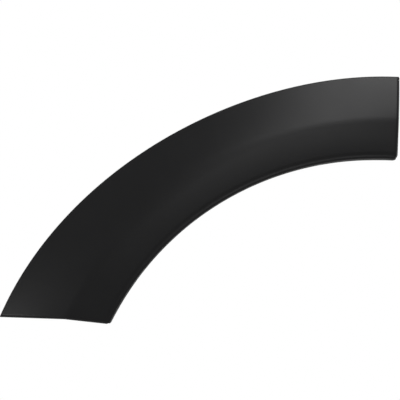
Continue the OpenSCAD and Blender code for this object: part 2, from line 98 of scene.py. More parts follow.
class ArchTrimSizes(PropertyGroup):
    """Sizes of the moulding, as a maker's drawing gives them"""
    arch_r: FloatProperty(
        name="Arch radius", description="Radius of the wheel opening at the inner edge",
        default=326 * MM, unit="LENGTH", precision=4)
    top_end_x: FloatProperty(
        name="Upright cut", description="Distance of the upright cut past the wheel's centre line",
        default=24.5 * MM, unit="LENGTH", precision=4)
    top_end_lean: FloatProperty(
        name="Upright cut lean", description="Lean of the upright cut",
        default=math.radians(2.2), unit="ROTATION")
    low_end_z: FloatProperty(
        name="Lower cut", description="Height of the lower cut above the wheel's centre",
        default=143.1 * MM, unit="LENGTH", precision=4)
    low_end_rise: FloatProperty(
        name="Lower cut rise", description="Rise of the lower cut from the inner edge to its bend",
        default=math.radians(5.7), unit="ROTATION")
    low_tip_rise: FloatProperty(
        name="Tip rise", description="Rise of the lower cut from its bend to the outer edge",
        default=math.radians(1.2), unit="ROTATION")
    low_bend_w: FloatProperty(
        name="Lower cut bend", description="Inner edge to the bend in the lower cut",
        default=47 * MM, unit="LENGTH", precision=4)
    top_w: FloatProperty(
        name="Top width", description="Width of the band at the upright cut",
        default=91.8 * MM, unit="LENGTH", precision=4)
    upper_w: FloatProperty(
        name="Upper width", description="Width of the band a quarter of the way down",
        default=89.4 * MM, unit="LENGTH", precision=4)
    middle_w: FloatProperty(
        name="Middle width", description="Width of the band half way down",
        default=92.6 * MM, unit="LENGTH", precision=4)
    lower_w: FloatProperty(
        name="Lower width", description="Width of the band three quarters of the way down",
        default=104 * MM, unit="LENGTH", precision=4)
    low_w: FloatProperty(
        name="Low width", description="Width of the band at the lower cut",
        default=117.4 * MM, unit="LENGTH", precision=4)
    crease_top_w: FloatProperty(
        name="Crease at the top", description="Inner edge to crease at the upright cut",
        default=40.6 * MM, unit="LENGTH", precision=4)
    crease_low_w: FloatProperty(
        name="Crease at the foot", description="Inner edge to crease at the lower cut",
        default=45.6 * MM, unit="LENGTH", precision=4)
    wall: FloatProperty(
        name="Wall", description="Wall thickness of the moulding",
        default=2.6 * MM, unit="LENGTH", precision=4)
    edge_h: FloatProperty(
        name="Outer edge height", description="Height of the outer edge above the body panel",
        default=5 * MM, unit="LENGTH", precision=4)
    crease_h: FloatProperty(
        name="Crease height", description="Height of the crease above the body panel",
        default=25.3 * MM, unit="LENGTH", precision=4)
    inner_h: FloatProperty(
        name="Inner edge height", description="Height of the inner edge above the body panel",
        default=22 * MM, unit="LENGTH", precision=4)
    inner_crown: FloatProperty(
        name="Inner crown", description="Bulge of the face between the inner edge and the crease",
        default=0.8 * MM, unit="LENGTH", precision=4)
    outer_crown: FloatProperty(
        name="Outer crown", description="Bulge of the face between the crease and the outer edge",
        default=1.3 * MM, unit="LENGTH", precision=4)
    outer_crown_top: FloatProperty(
        name="Outer crown, top", description="Bulge of the outer face at the upright cut",
        default=2.2 * MM, unit="LENGTH", precision=4)
    crease_reach_top: FloatProperty(
        name="Crease softness, top", description="Reach of the crease's rounding, upright cut",
        default=6.2 * MM, unit="LENGTH", precision=4)
    crease_reach_low: FloatProperty(
        name="Crease softness, foot", description="Reach of the crease's rounding, lower cut",
        default=4.3 * MM, unit="LENGTH", precision=4)
    crease_reach_middle: FloatProperty(
        name="Crease softness half way", description="Reach of the crease's rounding half way down",
        default=15 * MM, unit="LENGTH", precision=4)
    groove_depth: FloatProperty(
        name="Groove depth", description="Depth of the shallow groove beside the inner edge",
        default=0.18 * MM, unit="LENGTH", precision=4)
    groove_at: FloatProperty(
        name="Groove place", description="Distance from the inner edge to the groove's bottom",
        default=4.2 * MM, unit="LENGTH", precision=4)
    groove_rim_w: FloatProperty(
        name="Groove's short side", description="Width of the groove towards the inner edge",
        default=1.9 * MM, unit="LENGTH", precision=4)
    groove_face_w: FloatProperty(
        name="Groove's long side", description="Width of the groove towards the face",
        default=4.4 * MM, unit="LENGTH", precision=4)
    inner_edge_r: FloatProperty(
        name="Inner edge radius", description="Rounding of the inner edge",
        default=1.9 * MM, unit="LENGTH", precision=4)
    end_edge_r: FloatProperty(
        name="Cut edge radius", description="Rounding of the edges at the two cuts",
        default=3.4 * MM, unit="LENGTH", precision=4)
    outer_edge_r: FloatProperty(
        name="Outer edge radius", description="Rounding of the outer edge",
        default=1.2 * MM, unit="LENGTH", precision=4)
    top_inner_corner: FloatProperty(
        name="Top inner corner", description="Corner of the upright cut and the inner edge",
        default=5.5 * MM, unit="LENGTH", precision=4)
    top_outer_corner: FloatProperty(
        name="Top outer corner", description="Corner of the upright cut and the outer edge",
        default=1.6 * MM, unit="LENGTH", precision=4)
    low_inner_corner: FloatProperty(
        name="Low inner corner", description="Corner of the lower cut and the inner edge",
        default=3.4 * MM, unit="LENGTH", precision=4)
    low_outer_corner: FloatProperty(
        name="Low outer corner", description="Corner of the lower cut and the outer edge",
        default=1.1 * MM, unit="LENGTH", precision=4)
    draft: FloatProperty(
        name="Draft", description="Lean of the side walls for the mould",
        default=math.radians(1.5), unit="ROTATION")
    cut_splay: FloatProperty(
        name="Cut splay", description="Lean of the walls at the two cuts",
        default=math.radians(3), unit="ROTATION")
    body_plan_r: FloatProperty(
        name="Body bow, front to rear", description="Radius of the body side seen from above",
        default=2.0, unit="LENGTH")
    body_side_r: FloatProperty(
        name="Body bow, top to bottom", description="Radius of the body side seen from the front",
        default=3.5, unit="LENGTH")
    body_belly_z: FloatProperty(
        name="Body belly", description="Height above the wheel's centre where the body is widest",
        default=150 * MM, unit="LENGTH", precision=4)
    panel_gap: FloatProperty(
        name="Panel gap", description="Gap between the trim's rims and the body panel",
        default=0.4 * MM, unit="LENGTH", precision=4)
    flange_reach: FloatProperty(
        name="Flange reach", description="Reach of the wheel side flange past the body panel",
        default=14 * MM, unit="LENGTH", precision=4)
    flange_ramp: FloatProperty(
        name="Flange ramp", description="Length over which the flange grows from each cut",
        default=34 * MM, unit="LENGTH", precision=4)
    screw_bore_d: FloatProperty(
        name="Screw bore", description="Diameter of the flange's screw bores",
        default=6.5 * MM, unit="LENGTH", precision=4)
    screw_pad_d: FloatProperty(
        name="Screw pad", description="Diameter of the pad round each screw bore",
        default=13 * MM, unit="LENGTH", precision=4)
    screw_pad_h: FloatProperty(
        name="Screw pad thickness", description="Thickness of the pad round each screw bore",
        default=4 * MM, unit="LENGTH", precision=4)
    screw_edge: FloatProperty(
        name="Screw edge distance", description="Distance from the flange's free edge to the bores",
        default=7.5 * MM, unit="LENGTH", precision=4)
    clip_row: FloatProperty(
        name="Clip row", description="Distance from the inner edge to the clips",
        default=26 * MM, unit="LENGTH", precision=4)
    clip_from_top: FloatProperty(
        name="First clip", description="Distance along the arch from upright cut to first clip",
        default=50 * MM, unit="LENGTH", precision=4)
    clip_from_low: FloatProperty(
        name="Last clip", description="Distance along the arch from lower cut to last clip",
        default=33.5 * MM, unit="LENGTH", precision=4)
    tower_l: FloatProperty(
        name="Tower length", description="Length of a clip tower along the arch",
        default=19 * MM, unit="LENGTH", precision=4)
    tower_w: FloatProperty(
        name="Tower width", description="Length of a clip tower across the band",
        default=18 * MM, unit="LENGTH", precision=4)
    tower_wall: FloatProperty(
        name="Tower wall", description="Thickness of the tower walls",
        default=1.8 * MM, unit="LENGTH", precision=4)
    seat_t: FloatProperty(
        name="Seat thickness", description="Thickness of the tower's seat for the clip",
        default=2 * MM, unit="LENGTH", precision=4)
    seat_h: FloatProperty(
        name="Seat height", description="Height of the seat's face above the body panel",
        default=3.6 * MM, unit="LENGTH", precision=4)
    rib_t: FloatProperty(
        name="Rib thickness", description="Thickness of the ribs behind the face",
        default=1.5 * MM, unit="LENGTH", precision=4)
    rib_gap: FloatProperty(
        name="Rib gap", description="Gap between the ribs and the body panel",
        default=3 * MM, unit="LENGTH", precision=4)
    long_rib_at: FloatProperty(
        name="Long rib", description="Distance from the inner edge to the long rib",
        default=58 * MM, unit="LENGTH", precision=4)
    neck_d: FloatProperty(
        name="Clip neck", description="Diameter of the clip's neck",
        default=6 * MM, unit="LENGTH", precision=4)
    neck_clearance: FloatProperty(
        name="Neck clearance", description="Clearance round the neck in its slot",
        default=0.3 * MM, unit="LENGTH", precision=4)
    head_d: FloatProperty(
        name="Clip head", description="Diameter of the clip's head",
        default=12.5 * MM, unit="LENGTH", precision=4)
    head_t: FloatProperty(
        name="Clip head thickness", description="Thickness of the clip's head",
        default=1.8 * MM, unit="LENGTH", precision=4)
    skirt_clearance: FloatProperty(
        name="Skirt clearance", description="Clearance between the seat and the clip's skirt",
        default=0.3 * MM, unit="LENGTH", precision=4)
    skirt_d: FloatProperty(
        name="Clip skirt", description="Diameter of the clip's sealing skirt",
        default=16 * MM, unit="LENGTH", precision=4)
    skirt_t: FloatProperty(
        name="Clip skirt thickness", description="Thickness of the clip's sealing skirt",
        default=1.1 * MM, unit="LENGTH", precision=4)
    stem_d: FloatProperty(
        name="Clip stem", description="Diameter of the clip's stem",
        default=5 * MM, unit="LENGTH", precision=4)
    fin_d: FloatProperty(
        name="Clip fins", description="Diameter over the stem's fins",
        default=8.2 * MM, unit="LENGTH", precision=4)
    stem_l: FloatProperty(
        name="Stem length", description="Length of the stem behind the body panel",
        default=15 * MM, unit="LENGTH", precision=4)
    fin_n: IntProperty(name="Fins", description="Number of fins on each stem", default=4, min=1)


class ArchTrimFinishes(PropertyGroup):
    """Colours and textures of the moulding and its clips"""
    trim_colour: FloatVectorProperty(
        name="Trim colour", description="Colour of the moulded plastic",
        default=(0.0035, 0.0035, 0.0037), subtype="COLOR", min=0, max=1)
    trim_roughness: FloatProperty(
        name="Trim roughness", description="How satin the moulded plastic is",
        default=0.34, subtype="FACTOR", min=0, max=1)
    clip_colour: FloatVectorProperty(
        name="Clip colour", description="Colour of the clips",
        default=(0.62, 0.62, 0.58), subtype="COLOR", min=0, max=1)
    clip_roughness: FloatProperty(
        name="Clip roughness", description="How satin the clips are",
        default=0.42, subtype="FACTOR", min=0, max=1)
    grain_size: FloatProperty(
        name="Grain size", description="Width of one grain of the mould's texture",
        default=0.7 * MM, unit="LENGTH", precision=5)
    grain_depth: FloatProperty(
        name="Grain depth", description="Depth of the mould's texture",
        default=0.02 * MM, unit="LENGTH", precision=6)


# Formulas as nodes

class Term:
    """A number or a socket in a node tree. Sums and functions of terms write the Math nodes."""

    def __init__(self, tree, source):
        self.tree = tree
        self.source = source

    def run(self, operation, *others):
        node = self.tree.nodes.new("ShaderNodeMath")
        node.operation = operation
        for socket, value in zip(node.inputs, (self, *others)):
            feed(self.tree, socket, value)
        return Term(self.tree, node.outputs[0])

    def __add__(self, other):
        return self.run("ADD", other)

    def __sub__(self, other):
        return self.run("SUBTRACT", other)

    def __mul__(self, other):
        return self.run("MULTIPLY", other)

    def __truediv__(self, other):
        return self.run("DIVIDE", other)

    def __radd__(self, other):
        return Term(self.tree, other).run("ADD", self)

    def __rsub__(self, other):
        return Term(self.tree, other).run("SUBTRACT", self)

    def __rmul__(self, other):
        return Term(self.tree, other).run("MULTIPLY", self)

    def __rtruediv__(self, other):
        return Term(self.tree, other).run("DIVIDE", self)

    def __neg__(self):
        return 0 - self

    def __gt__(self, other):
        return self.run("GREATER_THAN", other)

    def __lt__(self, other):
        return self.run("LESS_THAN", other)

    def squared(self):
        return self * self

    def between(self, low, high):
        return self.run("MAXIMUM", low).run("MINIMUM", high)

    def at_least(self, other):
        return self.run("MAXIMUM", other)

    # What at_least does to two conditions
    either = at_least


def feed(tree, socket, value):
    """Links a term or a socket to an input, or sets the input if the value is a plain one."""
    source = value.source if isinstance(value, Term) else value
    if isinstance(source, bpy.types.NodeSocket):
        tree.links.new(source, socket)
    else:
        socket.default_value = source


def sine(term):
    return term.run("SINE")


def cosine(term):
    return term.run("COSINE")


def tangent(term):
    return term.run("TANGENT")


def root(term):
    return term.at_least(0).run("SQRT")


def pick(condition, yes, no):
    """yes where condition is 1, no where it is 0, and a blend of them between."""
    return no + condition * (yes - no)


def share(index, start, count):
    """How much of a run of rows lies behind a row: 0 before its start, 1 after its end."""
    return ((index - start) / count).between(0, 1)


# Node trees

def add_node(tree, kind, values=None, **settings):
    """Adds a node, with its settings by name and its inputs by name or place."""
    node = tree.nodes.new(kind)
    for name, value in settings.items():
        setattr(node, name, value)
    for key, value in (values or {}).items():
        feed(tree, node.inputs[key], value)
    return node


def made(tree, kind, values=None, **settings):
    """The first output of a new node."""
    return add_node(tree, kind, values, **settings).outputs[0]


def new_tree(name, sizes, extras=()):
    """A Geometry Nodes tree with an input for each size. Returns it with its inputs as terms."""
    tree = bpy.data.node_groups.new(name, "GeometryNodeTree")
    for label, kind in extras:
        tree.interface.new_socket(label, in_out="INPUT", socket_type=kind)
    for size in sizes:
        tree.interface.new_socket(size, in_out="INPUT", socket_type="NodeSocketFloat")
    tree.interface.new_socket("Geometry", in_out="OUTPUT", socket_type="NodeSocketGeometry")
    entry = tree.nodes.new("NodeGroupInput")
    terms = {size: Term(tree, entry.outputs[size]) for size in sizes}
    terms.update({label: entry.outputs[label] for label, _ in extras})
    return tree, terms


def finish_tree(tree, geometry, material=None):
    """Ends a tree: what it makes is realized and given its material."""
    if material is not None:
        geometry = made(tree, "GeometryNodeRealizeInstances", {"Geometry": geometry})
        geometry = made(
            tree, "GeometryNodeSetMaterial", {"Geometry": geometry, "Material": material})
    leave = tree.nodes.new("NodeGroupOutput")
    tree.links.new(geometry, leave.inputs["Geometry"])
    return tree


def call_tree(tree, inner, terms, extras=None):
    """Uses one tree inside another, with the sizes that both know passed on."""
    node = tree.nodes.new("GeometryNodeGroup")
    node.node_tree = inner
    for socket in node.inputs:
        if socket.name in terms:
            feed(tree, socket, terms[socket.name])
    for label, value in (extras or {}).items():
        feed(tree, node.inputs[label], value)
    return node.outputs["Geometry"]


def size_names():
    return list(ArchTrimSizes.__annotations__)


# Rows run along the arch and are counted across it; stations are counted along it
TURN_STEPS = 8
GROOVE_STEPS = 14
INNER_STEPS = 8
CREASE_STEPS = 14
OUTER_STEPS = 16
ZONE_STEPS = 3
ALONG_STEPS = 148
ROW_RUNS = (TURN_STEPS, GROOVE_STEPS, INNER_STEPS, CREASE_STEPS, OUTER_STEPS, TURN_STEPS)
STATION_RUNS = (TURN_STEPS, ZONE_STEPS, ALONG_STEPS, ZONE_STEPS, TURN_STEPS)
FIRST_RUN = 2
LAST_ROW = sum(ROW_RUNS) + 2 * FIRST_RUN
LAST_STATION = sum(STATION_RUNS) + 2 * FIRST_RUN
CORNER_ZONE = 6.2 * MM
SMALL_TURN = 0.4 * MM
SLOPE_STEP = 1 * MM
FOOT_PAST = 1 * MM
# How the crease and the crown change along the arch
SOFT_PLACE = 1.25
CREASE_BEND = 2.5
CROWN_RUN = 0.16
LEAST_TURN = 0.1
WELD = 0.002 * MM
CLEAN_WELD = 0.0006 * MM
SKIN_IN = 0.02 * MM
TALL = 100 * MM
CUT_PAST = 1 * MM
PAD_IN = 0.25 * MM
ROD_SIDES = 64
LONG_RIB_STEPS = 120
GRID_NAMES = ("row", "station", "behind")
WALL_NAME = "wall"
GRAIN_NAME = "Moulded grain"


def run_starts(runs):
    """The first row of each run. The rim and the foot of the side wall come before them."""
    return [FIRST_RUN + sum(runs[:k]) for k in range(len(runs))]


def panel_y(z, x, height):
    """How far the body panel lies behind the plane through the wheel's centre line."""
    return (
        (x - z["top_end_x"]).squared() / (2 * z["body_plan_r"])
        + (height - z["body_belly_z"]).squared() / (2 * z["body_side_r"]))


def through(values, t):
    """The even curve through values that stand at equal steps of t."""
    last = len(values) - 1
    curve = None
    for k, value in enumerate(values):
        part = value
        for m in range(last + 1):
            if m != k:
                part = part * ((t * last - m) / (k - m))
        curve = part if curve is None else curve + part
    return curve


def bulge(u, height):
    return 4 * height * u * (1 - u)


def face_height(z, a, width, crease, reach, crown):
    """Height of the face at a distance a from the inner edge, with the soft crease in it and a
    crown on its outer part."""
    u = a / crease
    inner = z["inner_h"] + (z["crease_h"] - z["inner_h"]) * u + bulge(u, z["inner_crown"])
    v = (width - a) / (width - crease)
    outer = z["edge_h"] + (z["crease_h"] - z["edge_h"]) * v + bulge(v, crown)
    turn = (
        (z["crease_h"] - z["inner_h"] - 4 * z["inner_crown"]) / crease
        + (z["crease_h"] - z["edge_h"] - 4 * crown) / (width - crease))
    k = turn.at_least(LEAST_TURN) * reach
    h = (0.5 + 0.5 * (outer - inner) / k).between(0, 1)
    return outer + (inner - outer) * h - k * h * (1 - h)


def rounding(d, r):
    """Height lost in the rounding of an edge, at a distance d from it."""
    e = (r - d).between(0, r)
    return r - root(r * r - e * e)


def cut_pulls(z):
    """Distances of the cuts' lines from the wheel's centre, and where the lower one bends."""
    top_z = root(z["arch_r"].squared() - z["top_end_x"].squared())
    top = z["top_end_x"] * cosine(z["top_end_lean"]) - top_z * sine(z["top_end_lean"])
    low_x = root(z["arch_r"].squared() - z["low_end_z"].squared())
    low = z["low_end_z"] * cosine(z["low_end_rise"]) - low_x * sine(z["low_end_rise"])
    bend_r = z["arch_r"] + z["low_bend_w"]
    bend_angle = (low / bend_r).run("ARCCOSINE") - z["low_end_rise"]
    tip = bend_r * cosine(bend_angle + z["low_tip_rise"])
    return top, low, tip, bend_r


def skin_place(z, row, station, behind):
    """Where a point of the moulding's skins lies, as x, y and z about the wheel's centre."""
    rim = (row < 0.5).either(row > LAST_ROW - 0.5)
    rim = rim.either(station < 0.5).either(station > LAST_STATION - 0.5)
    backed = rim.either(behind)
    inset = z["Set in"] + z["Skin gap"] * backed
    i = row.between(1, LAST_ROW - 1)
    j = station.between(1, LAST_STATION - 1)
    end_turn_r = (z["end_edge_r"] - inset).at_least(SMALL_TURN)
    inner_turn_r = (z["inner_edge_r"] - inset).at_least(SMALL_TURN)
    outer_turn_r = (z["outer_edge_r"] - inset).at_least(SMALL_TURN)
    top_pull, low_pull, tip_pull, bend_r = cut_pulls(z)

    def top_angle(r):
        return -z["top_end_lean"] - (top_pull / r).run("ARCSINE")

    def low_parts(r):
        tip = r > bend_r
        pull = pick(tip, tip_pull, low_pull) / r
        return pull.run("ARCCOSINE") - pick(tip, z["low_tip_rise"], z["low_end_rise"]), pull

    # Distance from each cut, and the share of the way down
    turn_s, zone_s, along_s, low_zone_s, low_turn_s = run_starts(STATION_RUNS)
    quarter = math.pi / 2
    zone_w = CORNER_ZONE - inset - end_turn_r
    top_zone = share(j, zone_s, ZONE_STEPS)
    low_zone = 1 - share(j, low_zone_s, ZONE_STEPS)
    top_turn = share(j, turn_s, TURN_STEPS)
    low_turn = 1 - share(j, low_turn_s, TURN_STEPS)
    from_top = inset + end_turn_r * (1 - cosine(quarter * top_turn)) + top_zone * zone_w
    from_low = inset + end_turn_r * (1 - cosine(quarter * low_turn)) + low_zone * zone_w
    along = share(j, along_s, ALONG_STEPS)
    mid_r = z["arch_r"] + z["middle_w"] / 2
    arc = (low_parts(mid_r)[0] - top_angle(mid_r)) * mid_r
    t = ((from_top + along * (arc - 2 * CORNER_ZONE) + CORNER_ZONE - from_low) / arc).between(0, 1)

    # Widths there, and the distance from the inner edge
    width = through([z[name] for name in ("top_w", "upper_w", "middle_w", "lower_w", "low_w")], t)
    crease = pick(t.run("POWER", CREASE_BEND), z["crease_low_w"], z["crease_top_w"])
    soft = sine(math.pi * t.run("POWER", SOFT_PLACE)).squared().squared()
    reach = pick(
        soft, z["crease_reach_middle"], pick(t, z["crease_reach_low"], z["crease_reach_top"]))
    near_cut = (1 - t / CROWN_RUN).at_least(0).squared()
    crown = pick(near_cut, z["outer_crown_top"], z["outer_crown"])
    in_s, groove_s, inner_s, crease_s, outer_s, out_s = run_starts(ROW_RUNS)
    rim_w = z["groove_at"] + z["groove_face_w"]
    in_foot = i < FIRST_RUN - 0.5
    out_foot = i > LAST_ROW - FIRST_RUN + 0.5
    lean = tangent(z["draft"])
    a = (
        inset
        + inner_turn_r * (1 - cosine(quarter * share(i, in_s, TURN_STEPS)))
        + share(i, groove_s, GROOVE_STEPS) * (rim_w - inset - inner_turn_r)
        + share(i, inner_s, INNER_STEPS) * (crease - reach - rim_w)
        + share(i, crease_s, CREASE_STEPS) * 2 * reach
        + share(i, outer_s, OUTER_STEPS) * (width - outer_turn_r - inset - crease - reach)
        + outer_turn_r * sine(quarter * share(i, out_s, TURN_STEPS))
        - in_foot * lean * (z["inner_h"] + z["flange_reach"])
        + out_foot * lean * z["edge_h"])

    # Corners: square steps towards a corner become steps on circles
    inner_side = i < (crease_s + outer_s) / 2
    low_side = j > LAST_STATION / 2
    da = pick(inner_side, a - inset, width - inset - a)
    db = pick(low_side, from_low, from_top) - inset
    corner = pick(
        low_side,
        pick(inner_side, z["low_inner_corner"], z["low_outer_corner"]),
        pick(inner_side, z["top_inner_corner"], z["top_outer_corner"]))
    corner = (corner - inset).at_least(SMALL_TURN)
    p = (corner - da).at_least(0)
    q = (corner - db).at_least(0)
    pull_in = 1 - p.either(q) / root(p * p + q * q).at_least(WELD / 100)
    a_round = a + pick(inner_side, p, -p) * pull_in
    b_shift = q * pull_in

    # Height of the skin there
    foot_row = in_foot.either(out_foot)
    foot_station = (j < FIRST_RUN - 0.5).either(j > LAST_STATION - FIRST_RUN + 0.5)
    foot = foot_row.either(foot_station)
    face = face_height(z, a_round, width, crease, reach, crown)
    slope = (
        face_height(z, a_round + SLOPE_STEP, width, crease, reach, crown)
        - face_height(z, a_round - SLOPE_STEP, width, crease, reach, crown)) / (2 * SLOPE_STEP)
    past_groove = a_round - z["groove_at"]
    groove_w = pick(past_groove < 0, z["groove_rim_w"], z["groove_face_w"])
    groove_u = (past_groove / groove_w).between(-1, 1)
    groove = z["groove_depth"] * cosine(quarter * groove_u).squared() * (inset < SMALL_TURN)
    side_turn = rounding(da, pick(inner_side, inner_turn_r, outer_turn_r))
    end_turn = rounding(db, end_turn_r)
    skin_h = face - groove - inset * root(1 + slope.squared()) - side_turn.either(end_turn)
    from_cut = t.run("MINIMUM", 1 - t) * arc
    ramp = (from_cut / z["flange_ramp"]).between(0, 1)
    smooth = ramp.squared() * (3 - 2 * ramp)
    flange_foot = z["panel_gap"] - (z["flange_reach"] + z["panel_gap"]) * smooth
    foot_h = pick(in_foot * (1 - foot_station), flange_foot, z["panel_gap"])
    foot_h = pick(z["Filled"], z["Foot height"] + FOOT_PAST, foot_h)
    height = pick(foot, foot_h, skin_h)
    height = pick(z["Filled"] * backed, z["Foot height"], height)

    # Place round the arch, with the cuts leaning out towards the panel
    splay = tangent(z["cut_splay"]) * (pick(foot, z["panel_gap"], face) - z["edge_h"])
    r = z["arch_r"] + a_round
    low_angle, low_share = low_parts(r)
    b_top = from_top + (1 - low_side) * b_shift + splay * (1 - top_zone)
    b_low = from_low + low_side * b_shift + splay * (1 - low_zone)
    near_top = top_angle(r) + b_top / r
    near_low = low_angle - b_low / r / root(1 - low_share.squared())
    angle = near_top + along * (near_low - near_top)
    x = -r * sine(angle)
    up = r * cosine(angle)
    return x, panel_y(z, x, up) - height, up


def add_places(z):
    """Adds the clips' places to a tree's sizes, and the datum, which is where the middle clip
    meets the body panel. The clips are spread between the two cuts."""
    top_pull, low_pull = cut_pulls(z)[:2]
    r = z["arch_r"] + z["clip_row"]
    first = -z["top_end_lean"] - (top_pull / r).run("ARCSINE") + z["clip_from_top"] / r
    last = (low_pull / r).run("ARCCOSINE") - z["low_end_rise"] - z["clip_from_low"] / r
    middle = (first + last) / 2
    x = -r * sine(middle)
    up = r * cosine(middle)
    z["Clip radius"] = r
    z["First clip"] = first
    z["Clip pitch"] = (last - first) / (CLIP_N - 1)
    z["Datum"] = (x, panel_y(z, x, up), up)


def wall_share(row, station):
    """1 on the side walls and 0 on the face, and rising over the lower half of the roundings."""
    turn_s, low_turn_s = run_starts(STATION_RUNS)[0], run_starts(STATION_RUNS)[-1]
    in_s, out_s = run_starts(ROW_RUNS)[0], run_starts(ROW_RUNS)[-1]
    sides = (1 - share(row, in_s, TURN_STEPS)).either(share(row, out_s, TURN_STEPS))
    cuts = (1 - share(station, turn_s, TURN_STEPS)).either(share(station, low_turn_s, TURN_STEPS))
    return (2 * sides.either(cuts) - 1).at_least(0)


def numbered_grid(tree, rows, stations, first, behind):
    """A flat grid whose points know their row, their station and which skin they belong to."""
    geometry = made(
        tree, "GeometryNodeMeshGrid",
        {"Size X": float(rows - 1), "Size Y": float(stations - 1),
         "Vertices X": rows, "Vertices Y": stations})
    x, y, _ = point_place(tree)
    row = x + (rows - 1) / 2 + first
    station = y + (stations - 1) / 2 + first
    for name, value in zip(GRID_NAMES, (row, station, float(behind))):
        geometry = stored(tree, geometry, name, value)
    return geometry


def point_place(tree):
    """Each point's x, y and z."""
    place = made(tree, "GeometryNodeInputPosition")
    split = add_node(tree, "ShaderNodeSeparateXYZ", {0: place})
    return [Term(tree, part) for part in split.outputs]


def stored(tree, geometry, name, value):
    """The geometry, with a value kept at each point under a name."""
    return made(
        tree, "GeometryNodeStoreNamedAttribute",
        {"Geometry": geometry, "Name": name, "Value": value}, data_type="FLOAT", domain="POINT")


def named_field(tree, name):
    return Term(tree, made(
        tree, "GeometryNodeInputNamedAttribute", {"Name": name}, data_type="FLOAT"))


def skin_tree():
    """Closed pair of skins. With Filled at 1 the back one is a sheet at the foot's height."""
    knobs = ["Set in", "Skin gap", "Filled", "Foot height"]
    tree, z = new_tree("Moulded skins", knobs + size_names())
    front = numbered_grid(tree, LAST_ROW + 1, LAST_STATION + 1, 0, False)
    back = numbered_grid(tree, LAST_ROW - 1, LAST_STATION - 1, 1, True)
    joined = tree.nodes.new("GeometryNodeJoinGeometry")
    tree.links.new(made(tree, "GeometryNodeFlipFaces", {"Mesh": back}), joined.inputs[0])
    tree.links.new(front, joined.inputs[0])
    fields = [named_field(tree, name) for name in GRID_NAMES]
    add_places(z)
    spot = skin_place(z, *fields)
    place = vector(tree, *[value - origin for value, origin in zip(spot, z["Datum"])])
    walls = stored(tree, joined.outputs[0], WALL_NAME, wall_share(*fields[:2]))
    moved = made(tree, "GeometryNodeSetPosition", {"Geometry": walls, "Position": place})
    return finish_tree(tree, welded(tree, moved, WELD))


def welded(tree, geometry, distance):
    return made(
        tree, "GeometryNodeMergeByDistance", {"Geometry": geometry, "Distance": distance})


def vector(tree, x, y, z):
    return made(tree, "ShaderNodeCombineXYZ", {0: x, 1: y, 2: z})


def ring_of(tree, z, geometry, count, first, r, lift=0.0):
    """Sets copies of a shape round the arch, one clip's pitch apart. Their X runs along the arch
    and their Z points outwards."""
    index = Term(tree, made(tree, "GeometryNodeInputIndex"))
    angle = first + index * z["Clip pitch"]
    x = -r * sine(angle)
    up = r * cosine(angle)
    datum = z["Datum"]
    place = vector(tree, x - datum[0], panel_y(z, x, up) + lift - datum[1], up - datum[2])
    points = made(tree, "GeometryNodePoints", {"Count": count, "Position": place})
    turn = vector(tree, 0.0, -angle, 0.0)
    copies = made(
        tree, "GeometryNodeInstanceOnPoints",
        {"Points": points, "Instance": geometry, "Rotation": turn})
    return made(tree, "GeometryNodeRealizeInstances", {"Geometry": copies})


def block(tree, low, high):
    """A box between two corners."""
    size = vector(tree, *[high[k] - low[k] for k in range(3)])
    middle = vector(tree, *[(high[k] + low[k]) / 2 for k in range(3)])
    cube = made(tree, "GeometryNodeMeshCube", {"Size": size})
    return made(tree, "GeometryNodeTransform", {"Geometry": cube, "Translation": middle})


def rod(tree, r, length, middle=(0.0, 0.0, 0.0), turn=0.0):
    """A round rod along Z, or turned about X."""
    cylinder = made(
        tree, "GeometryNodeMeshCylinder", {"Vertices": ROD_SIDES, "Radius": r, "Depth": length})
    return made(
        tree, "GeometryNodeTransform",
        {"Geometry": cylinder, "Translation": vector(tree, *middle), "Rotation": (turn, 0.0, 0.0)})


def combined(tree, operation, shapes, cutters=()):
    """Solids joined, or what they share, or the first of them less the cutters."""
    node = add_node(tree, "GeometryNodeMeshBoolean", operation=operation, solver="MANIFOLD")
    if operation == "DIFFERENCE":
        tree.links.new(shapes[0], node.inputs[0])
        shapes = cutters
    for shape in shapes:
        tree.links.new(shape, node.inputs[1])
    return node.outputs["Mesh"]


def long_rib(tree, z):
    """The rib along the arch: a thin box bent round the wheel's centre."""
    cube = made(
        tree, "GeometryNodeMeshCube",
        {"Size": (1.0, 1.0, 1.0), "Vertices X": LONG_RIB_STEPS, "Vertices Y": 2, "Vertices Z": 2})
    along, deep, out = point_place(tree)
    top_pull, _, tip_pull, _ = cut_pulls(z)
    top = -z["top_end_lean"] - (top_pull / z["arch_r"]).run("ARCSINE")
    low = (tip_pull / (z["arch_r"] + z["low_w"])).run("ARCCOSINE") - z["low_tip_rise"]
    angle = low - (along + 0.5) * (low - top)
    r = z["arch_r"] + z["long_rib_at"] + (out + 0.5) * z["rib_t"]
    datum = z["Datum"]
    place = vector(
        tree, -r * sine(angle) - datum[0], deep * 2 * TALL - datum[1], r * cosine(angle) - datum[2])
    return made(tree, "GeometryNodeSetPosition", {"Geometry": cube, "Position": place})


